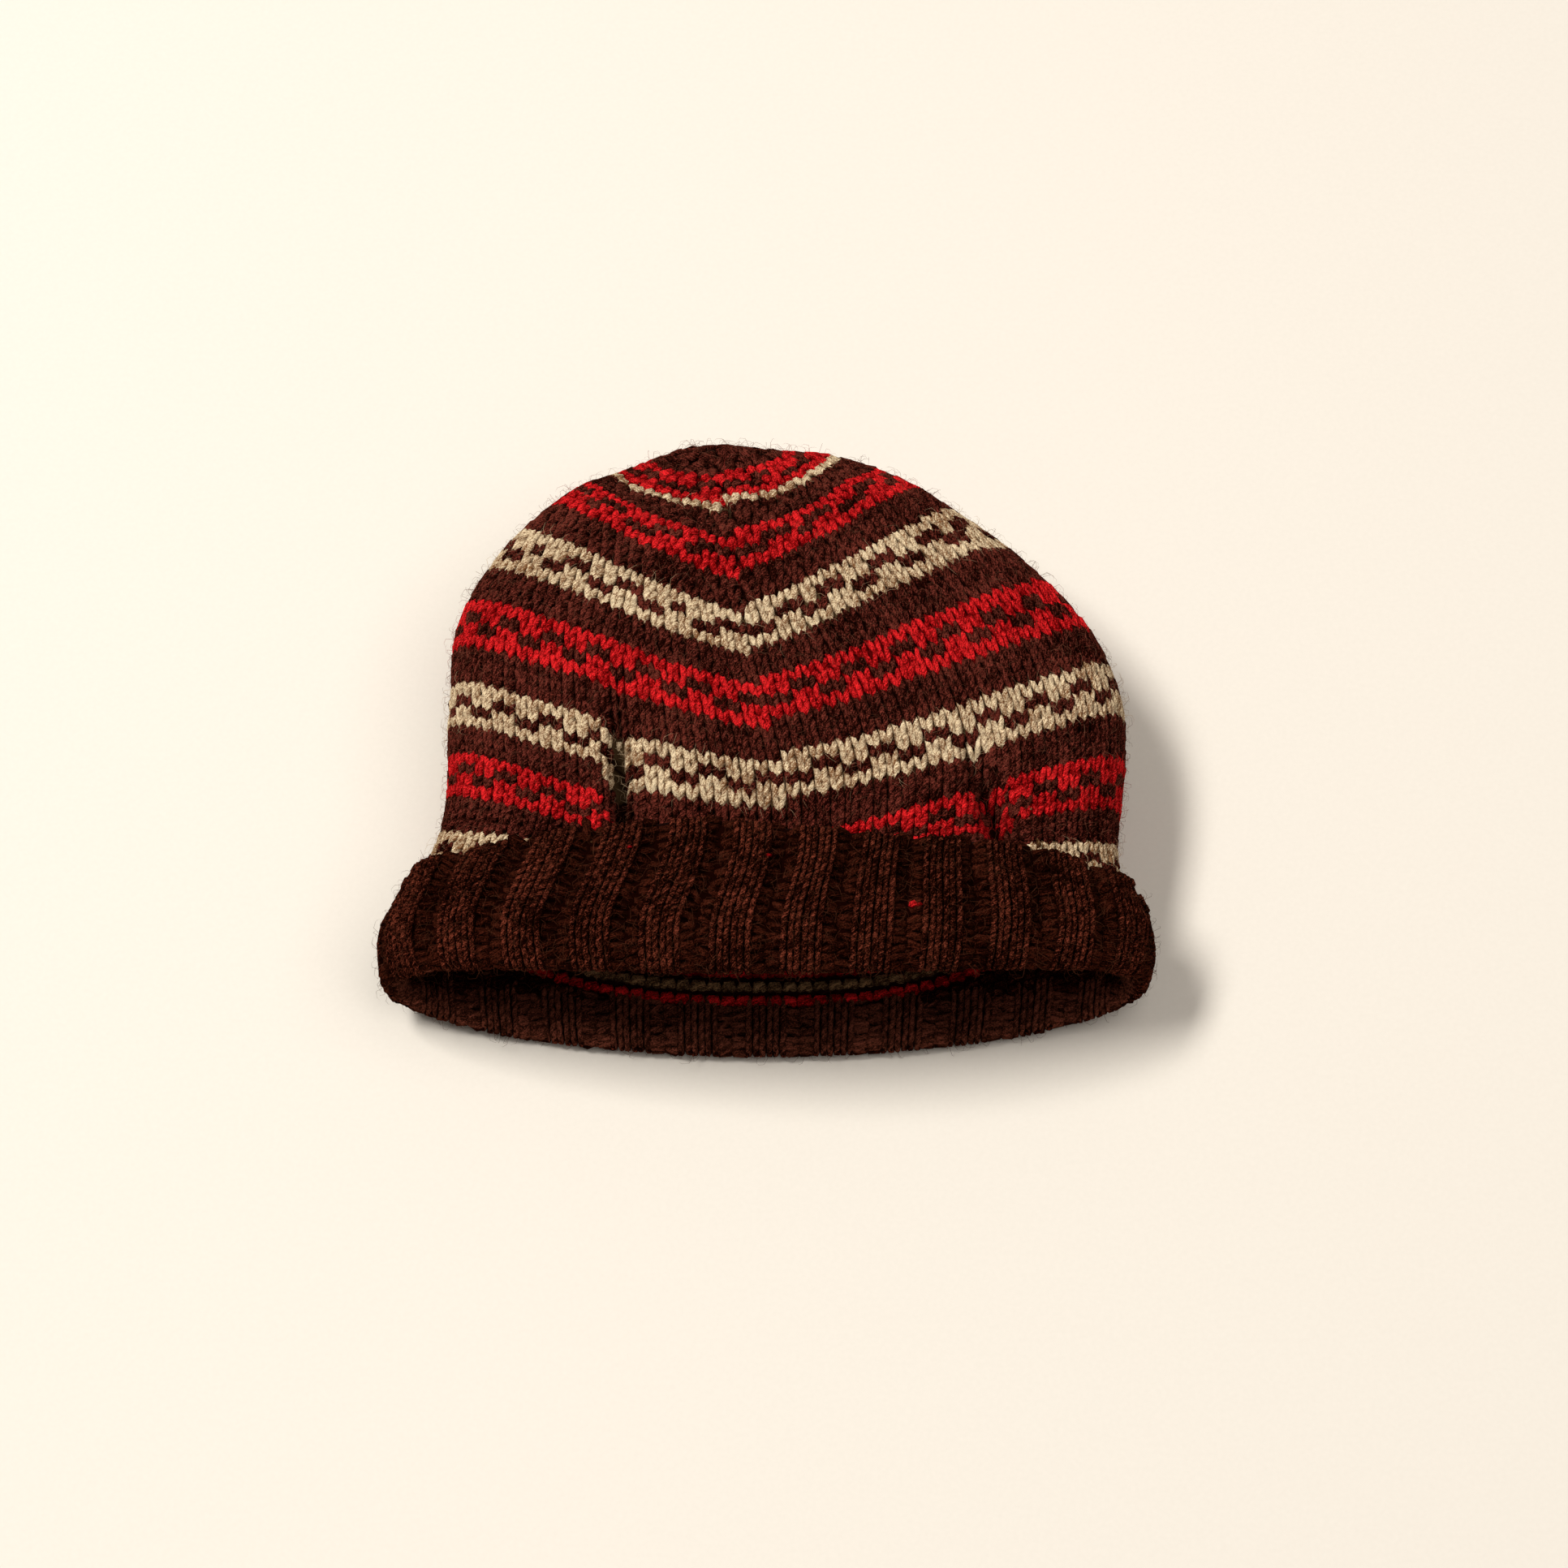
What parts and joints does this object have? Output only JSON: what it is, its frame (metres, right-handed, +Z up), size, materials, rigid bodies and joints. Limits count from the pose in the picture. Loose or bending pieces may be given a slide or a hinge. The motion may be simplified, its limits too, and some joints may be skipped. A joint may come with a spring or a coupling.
{
  "type": "knitted wool cap",
  "caption": "Rounded knitted wool cap with patterned stripes and a turned-up ribbed cuff, lying on its back with its mouth to the front.",
  "frame": {"origin": "middle of the underside of the whole cap's bounding box, on the floor", "axes": "+X to the right as seen from the mouth, +Y from the mouth to the crown's tip, +Z up, with the cap lying on its back"},
  "size_m": [0.237, 0.1928, 0.0678],
  "materials": {
    "striped_wool": "fuzzy knitted wool, brown with red and cream patterned bands",
    "ribbed_wool": "fuzzy ribbed wool, plain brown"
  },
  "bodies": {
    "root": {"crown": "striped_wool", "cuff": "ribbed_wool"}
  },
  "joints": []
}
